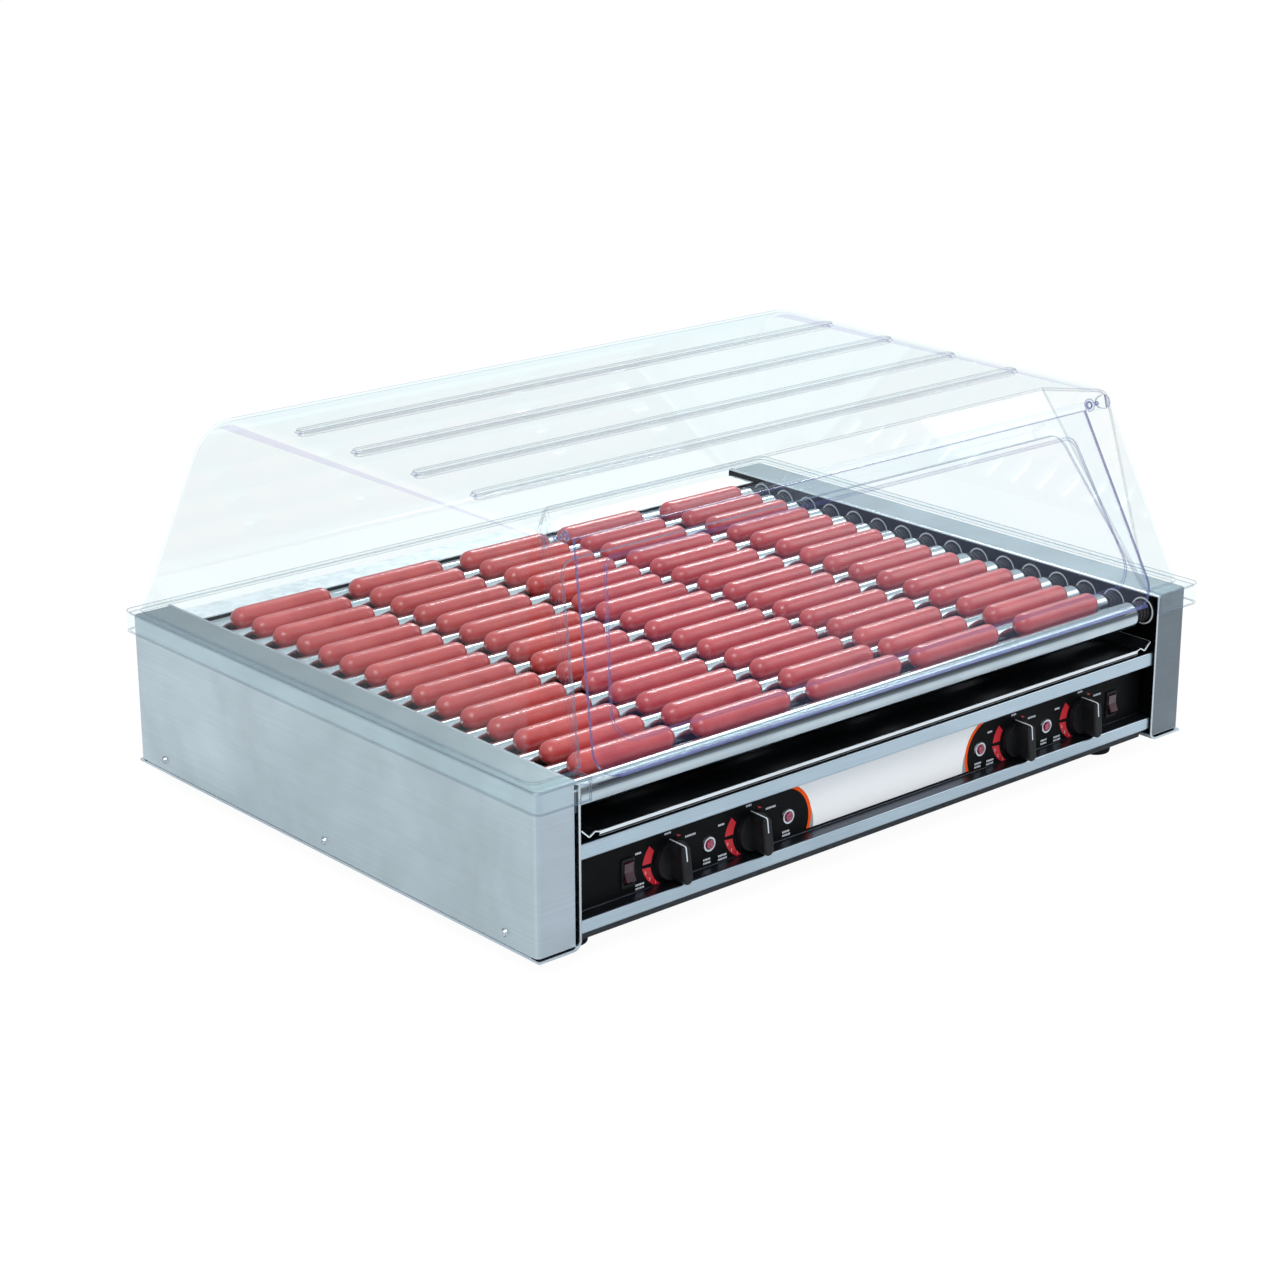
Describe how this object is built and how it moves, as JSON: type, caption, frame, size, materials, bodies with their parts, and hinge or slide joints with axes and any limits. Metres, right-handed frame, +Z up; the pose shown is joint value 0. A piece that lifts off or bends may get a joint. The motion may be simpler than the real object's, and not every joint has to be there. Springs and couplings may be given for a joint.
{
  "type": "hot dog roller grill",
  "caption": "Counter-top roller grill with a clear lift-off guard and door, chrome rollers carrying sausages, a drip tray and front heat controls.",
  "frame": {"origin": "on the counter, at the underside of the feet, under the middle of the whole grill with its guard and power cord", "axes": "+Z up, -Y towards the operator's controls, +X to the right seen from the front"},
  "size_m": [0.922, 0.7252, 0.4048],
  "materials": {
    "brushed_stainless": "brushed lengthwise",
    "stainless": "smooth mill finish",
    "galvanised": "zinc coated, dull",
    "screw_steel": "bright plated",
    "rubber": "matt moulded",
    "label_film": "printed film, black ends and a white middle",
    "phenolic": "moulded",
    "pilot_red": "clear red lens in a bright ring",
    "switch_black": "moulded",
    "rocker_red": "translucent red",
    "knob_black": "satin moulded",
    "bearing_nylon": "natural",
    "element_sheath": "oxidised",
    "motor_paint": "satin",
    "chain_steel": "oiled",
    "cord_black": "matt jacket",
    "clear_sheet": "clear formed plastic",
    "roller_chrome": "polished",
    "sausage_skin": "moist skin"
  },
  "bodies": {
    "chassis": {"base_pan": "galvanised", "end_frames": "stainless", "left_end_cover": "brushed_stainless", "right_end_cover": "brushed_stainless", "cover_screws": "screw_steel", "feet": "rubber", "control_channel": "brushed_stainless", "control_overlay": "label_film", "thermostats": "phenolic", "pilot_lights": "pilot_red", "rocker_housings": "switch_black", "roller_bearings": "bearing_nylon", "roller_seals": "rubber", "heating_elements": "element_sheath", "mounting_brackets": "galvanised", "gearmotors": "motor_paint", "drive_chains": "chain_steel", "power_cord": "cord_black"},
    "drip_tray": {"drip_tray": "stainless"},
    "guard": {"guard_hood": "clear_sheet"},
    "door": {"guard_door": "clear_sheet"},
    "roller_01": {"roller_01": "roller_chrome"},
    "roller_02": {"roller_02": "roller_chrome"},
    "roller_03": {"roller_03": "roller_chrome"},
    "roller_04": {"roller_04": "roller_chrome"},
    "roller_05": {"roller_05": "roller_chrome"},
    "roller_06": {"roller_06": "roller_chrome"},
    "roller_07": {"roller_07": "roller_chrome"},
    "roller_08": {"roller_08": "roller_chrome"},
    "roller_09": {"roller_09": "roller_chrome"},
    "roller_10": {"roller_10": "roller_chrome"},
    "roller_11": {"roller_11": "roller_chrome"},
    "roller_12": {"roller_12": "roller_chrome"},
    "roller_13": {"roller_13": "roller_chrome"},
    "roller_14": {"roller_14": "roller_chrome"},
    "roller_15": {"roller_15": "roller_chrome"},
    "roller_16": {"roller_16": "roller_chrome"},
    "hot_dogs_01": {"hot_dogs_01": "sausage_skin"},
    "hot_dogs_02": {"hot_dogs_02": "sausage_skin"},
    "hot_dogs_03": {"hot_dogs_03": "sausage_skin"},
    "hot_dogs_04": {"hot_dogs_04": "sausage_skin"},
    "hot_dogs_05": {"hot_dogs_05": "sausage_skin"},
    "hot_dogs_06": {"hot_dogs_06": "sausage_skin"},
    "hot_dogs_07": {"hot_dogs_07": "sausage_skin"},
    "hot_dogs_08": {"hot_dogs_08": "sausage_skin"},
    "hot_dogs_09": {"hot_dogs_09": "sausage_skin"},
    "hot_dogs_10": {"hot_dogs_10": "sausage_skin"},
    "hot_dogs_11": {"hot_dogs_11": "sausage_skin"},
    "hot_dogs_12": {"hot_dogs_12": "sausage_skin"},
    "hot_dogs_13": {"hot_dogs_13": "sausage_skin"},
    "hot_dogs_14": {"hot_dogs_14": "sausage_skin"},
    "hot_dogs_15": {"hot_dogs_15": "sausage_skin"},
    "front_drive": {"front_drive_sprocket": "chain_steel"},
    "rear_drive": {"rear_drive_sprocket": "chain_steel"},
    "front_knob": {"front_knob": "knob_black"},
    "front_middle_knob": {"front_middle_knob": "knob_black"},
    "rear_middle_knob": {"rear_middle_knob": "knob_black"},
    "rear_knob": {"rear_knob": "knob_black"},
    "front_rocker": {"front_rocker": "rocker_red"},
    "rear_rocker": {"rear_rocker": "rocker_red"}
  },
  "joints": [
    {"name": "tray_slide", "type": "slide", "parent": "chassis", "child": "drip_tray", "axis": [0, -1, 0], "range_m": [0, 0.45]},
    {"name": "guard_lift", "type": "slide", "parent": "chassis", "child": "guard", "axis": [0, 0, 1], "range_m": [0, 0.25]},
    {"name": "door_hinge", "type": "hinge", "parent": "guard", "child": "door", "pos_m": [-0.006, -0.2754, 0.384], "axis": [-1, 0, 0], "range_deg": [0, 225]},
    {"name": "roller_01_spin", "type": "hinge", "parent": "chassis", "child": "roller_01", "pos_m": [-0.006, -0.3334, 0.163], "axis": [1, 0, 0], "continuous": true},
    {"name": "roller_02_spin", "type": "hinge", "parent": "chassis", "child": "roller_02", "pos_m": [-0.006, -0.2939, 0.163], "axis": [1, 0, 0], "continuous": true},
    {"name": "roller_03_spin", "type": "hinge", "parent": "chassis", "child": "roller_03", "pos_m": [-0.006, -0.2544, 0.163], "axis": [1, 0, 0], "continuous": true},
    {"name": "roller_04_spin", "type": "hinge", "parent": "chassis", "child": "roller_04", "pos_m": [-0.006, -0.2149, 0.163], "axis": [1, 0, 0], "continuous": true},
    {"name": "roller_05_spin", "type": "hinge", "parent": "chassis", "child": "roller_05", "pos_m": [-0.006, -0.1754, 0.163], "axis": [1, 0, 0], "continuous": true},
    {"name": "roller_06_spin", "type": "hinge", "parent": "chassis", "child": "roller_06", "pos_m": [-0.006, -0.1359, 0.163], "axis": [1, 0, 0], "continuous": true},
    {"name": "roller_07_spin", "type": "hinge", "parent": "chassis", "child": "roller_07", "pos_m": [-0.006, -0.0964, 0.163], "axis": [1, 0, 0], "continuous": true},
    {"name": "roller_08_spin", "type": "hinge", "parent": "chassis", "child": "roller_08", "pos_m": [-0.006, -0.0569, 0.163], "axis": [1, 0, 0], "continuous": true},
    {"name": "roller_09_spin", "type": "hinge", "parent": "chassis", "child": "roller_09", "pos_m": [-0.006, -0.0174, 0.163], "axis": [1, 0, 0], "continuous": true},
    {"name": "roller_10_spin", "type": "hinge", "parent": "chassis", "child": "roller_10", "pos_m": [-0.006, 0.0221, 0.163], "axis": [1, 0, 0], "continuous": true},
    {"name": "roller_11_spin", "type": "hinge", "parent": "chassis", "child": "roller_11", "pos_m": [-0.006, 0.0616, 0.163], "axis": [1, 0, 0], "continuous": true},
    {"name": "roller_12_spin", "type": "hinge", "parent": "chassis", "child": "roller_12", "pos_m": [-0.006, 0.1011, 0.163], "axis": [1, 0, 0], "continuous": true},
    {"name": "roller_13_spin", "type": "hinge", "parent": "chassis", "child": "roller_13", "pos_m": [-0.006, 0.1406, 0.163], "axis": [1, 0, 0], "continuous": true},
    {"name": "roller_14_spin", "type": "hinge", "parent": "chassis", "child": "roller_14", "pos_m": [-0.006, 0.1801, 0.163], "axis": [1, 0, 0], "continuous": true},
    {"name": "roller_15_spin", "type": "hinge", "parent": "chassis", "child": "roller_15", "pos_m": [-0.006, 0.2196, 0.163], "axis": [1, 0, 0], "continuous": true},
    {"name": "roller_16_spin", "type": "hinge", "parent": "chassis", "child": "roller_16", "pos_m": [-0.006, 0.2591, 0.163], "axis": [1, 0, 0], "continuous": true},
    {"name": "hot_dogs_01_roll", "type": "hinge", "parent": "chassis", "child": "hot_dogs_01", "pos_m": [-0.006, -0.31365, 0.18006], "axis": [1, 0, 0], "continuous": true},
    {"name": "hot_dogs_02_roll", "type": "hinge", "parent": "chassis", "child": "hot_dogs_02", "pos_m": [-0.006, -0.27415, 0.18006], "axis": [1, 0, 0], "continuous": true},
    {"name": "hot_dogs_03_roll", "type": "hinge", "parent": "chassis", "child": "hot_dogs_03", "pos_m": [-0.006, -0.23465, 0.18006], "axis": [1, 0, 0], "continuous": true},
    {"name": "hot_dogs_04_roll", "type": "hinge", "parent": "chassis", "child": "hot_dogs_04", "pos_m": [-0.006, -0.19515, 0.18006], "axis": [1, 0, 0], "continuous": true},
    {"name": "hot_dogs_05_roll", "type": "hinge", "parent": "chassis", "child": "hot_dogs_05", "pos_m": [-0.006, -0.15565, 0.18006], "axis": [1, 0, 0], "continuous": true},
    {"name": "hot_dogs_06_roll", "type": "hinge", "parent": "chassis", "child": "hot_dogs_06", "pos_m": [-0.006, -0.11615, 0.18006], "axis": [1, 0, 0], "continuous": true},
    {"name": "hot_dogs_07_roll", "type": "hinge", "parent": "chassis", "child": "hot_dogs_07", "pos_m": [-0.006, -0.07665, 0.18006], "axis": [1, 0, 0], "continuous": true},
    {"name": "hot_dogs_08_roll", "type": "hinge", "parent": "chassis", "child": "hot_dogs_08", "pos_m": [-0.006, -0.03715, 0.18006], "axis": [1, 0, 0], "continuous": true},
    {"name": "hot_dogs_09_roll", "type": "hinge", "parent": "chassis", "child": "hot_dogs_09", "pos_m": [-0.006, 0.00235, 0.18006], "axis": [1, 0, 0], "continuous": true},
    {"name": "hot_dogs_10_roll", "type": "hinge", "parent": "chassis", "child": "hot_dogs_10", "pos_m": [-0.006, 0.04185, 0.18006], "axis": [1, 0, 0], "continuous": true},
    {"name": "hot_dogs_11_roll", "type": "hinge", "parent": "chassis", "child": "hot_dogs_11", "pos_m": [-0.006, 0.08135, 0.18006], "axis": [1, 0, 0], "continuous": true},
    {"name": "hot_dogs_12_roll", "type": "hinge", "parent": "chassis", "child": "hot_dogs_12", "pos_m": [-0.006, 0.12085, 0.18006], "axis": [1, 0, 0], "continuous": true},
    {"name": "hot_dogs_13_roll", "type": "hinge", "parent": "chassis", "child": "hot_dogs_13", "pos_m": [-0.006, 0.16035, 0.18006], "axis": [1, 0, 0], "continuous": true},
    {"name": "hot_dogs_14_roll", "type": "hinge", "parent": "chassis", "child": "hot_dogs_14", "pos_m": [-0.006, 0.19985, 0.18006], "axis": [1, 0, 0], "continuous": true},
    {"name": "hot_dogs_15_roll", "type": "hinge", "parent": "chassis", "child": "hot_dogs_15", "pos_m": [-0.006, 0.23935, 0.18006], "axis": [1, 0, 0], "continuous": true},
    {"name": "front_drive_spin", "type": "hinge", "parent": "chassis", "child": "front_drive", "pos_m": [-0.006, -0.19515, 0.082], "axis": [1, 0, 0], "continuous": true},
    {"name": "rear_drive_spin", "type": "hinge", "parent": "chassis", "child": "rear_drive", "pos_m": [-0.006, 0.12085, 0.082], "axis": [1, 0, 0], "continuous": true},
    {"name": "front_knob_turn", "type": "hinge", "parent": "chassis", "child": "front_knob", "pos_m": [-0.282, -0.3342, 0.0665], "axis": [0, 1, 0], "range_deg": [0, 300]},
    {"name": "front_middle_knob_turn", "type": "hinge", "parent": "chassis", "child": "front_middle_knob", "pos_m": [-0.178, -0.3342, 0.0665], "axis": [0, 1, 0], "range_deg": [0, 300]},
    {"name": "rear_middle_knob_turn", "type": "hinge", "parent": "chassis", "child": "rear_middle_knob", "pos_m": [0.1975, -0.3342, 0.0665], "axis": [0, 1, 0], "range_deg": [0, 300]},
    {"name": "rear_knob_turn", "type": "hinge", "parent": "chassis", "child": "rear_knob", "pos_m": [0.3015, -0.3342, 0.0665], "axis": [0, 1, 0], "range_deg": [0, 300]},
    {"name": "front_rocker_tilt", "type": "hinge", "parent": "chassis", "child": "front_rocker", "pos_m": [-0.3363, -0.3319, 0.068], "axis": [1, 0, 0], "range_deg": [0, 24]},
    {"name": "rear_rocker_tilt", "type": "hinge", "parent": "chassis", "child": "rear_rocker", "pos_m": [0.3477, -0.3319, 0.068], "axis": [1, 0, 0], "range_deg": [0, 24]}
  ],
  "couplings": [
    {"joint": "roller_02_spin", "follows": "roller_01_spin", "ratio": 1},
    {"joint": "roller_03_spin", "follows": "roller_01_spin", "ratio": 1},
    {"joint": "roller_04_spin", "follows": "roller_01_spin", "ratio": 1},
    {"joint": "roller_05_spin", "follows": "roller_01_spin", "ratio": 1},
    {"joint": "roller_06_spin", "follows": "roller_01_spin", "ratio": 1},
    {"joint": "roller_07_spin", "follows": "roller_01_spin", "ratio": 1},
    {"joint": "roller_08_spin", "follows": "roller_01_spin", "ratio": 1},
    {"joint": "roller_10_spin", "follows": "roller_09_spin", "ratio": 1},
    {"joint": "roller_11_spin", "follows": "roller_09_spin", "ratio": 1},
    {"joint": "roller_12_spin", "follows": "roller_09_spin", "ratio": 1},
    {"joint": "roller_13_spin", "follows": "roller_09_spin", "ratio": 1},
    {"joint": "roller_14_spin", "follows": "roller_09_spin", "ratio": 1},
    {"joint": "roller_15_spin", "follows": "roller_09_spin", "ratio": 1},
    {"joint": "roller_16_spin", "follows": "roller_09_spin", "ratio": 1},
    {"joint": "hot_dogs_01_roll", "follows": "roller_01_spin", "ratio": -1.1667},
    {"joint": "hot_dogs_02_roll", "follows": "roller_01_spin", "ratio": -1.1667},
    {"joint": "hot_dogs_03_roll", "follows": "roller_01_spin", "ratio": -1.1667},
    {"joint": "hot_dogs_04_roll", "follows": "roller_01_spin", "ratio": -1.1667},
    {"joint": "hot_dogs_05_roll", "follows": "roller_01_spin", "ratio": -1.1667},
    {"joint": "hot_dogs_06_roll", "follows": "roller_01_spin", "ratio": -1.1667},
    {"joint": "hot_dogs_07_roll", "follows": "roller_01_spin", "ratio": -1.1667},
    {"joint": "hot_dogs_08_roll", "follows": "roller_01_spin", "ratio": -1.1667},
    {"joint": "hot_dogs_09_roll", "follows": "roller_09_spin", "ratio": -1.1667},
    {"joint": "hot_dogs_10_roll", "follows": "roller_09_spin", "ratio": -1.1667},
    {"joint": "hot_dogs_11_roll", "follows": "roller_09_spin", "ratio": -1.1667},
    {"joint": "hot_dogs_12_roll", "follows": "roller_09_spin", "ratio": -1.1667},
    {"joint": "hot_dogs_13_roll", "follows": "roller_09_spin", "ratio": -1.1667},
    {"joint": "hot_dogs_14_roll", "follows": "roller_09_spin", "ratio": -1.1667},
    {"joint": "hot_dogs_15_roll", "follows": "roller_09_spin", "ratio": -1.1667},
    {"joint": "front_drive_spin", "follows": "roller_01_spin", "ratio": 0.71429},
    {"joint": "rear_drive_spin", "follows": "roller_09_spin", "ratio": 0.71429}
  ]
}
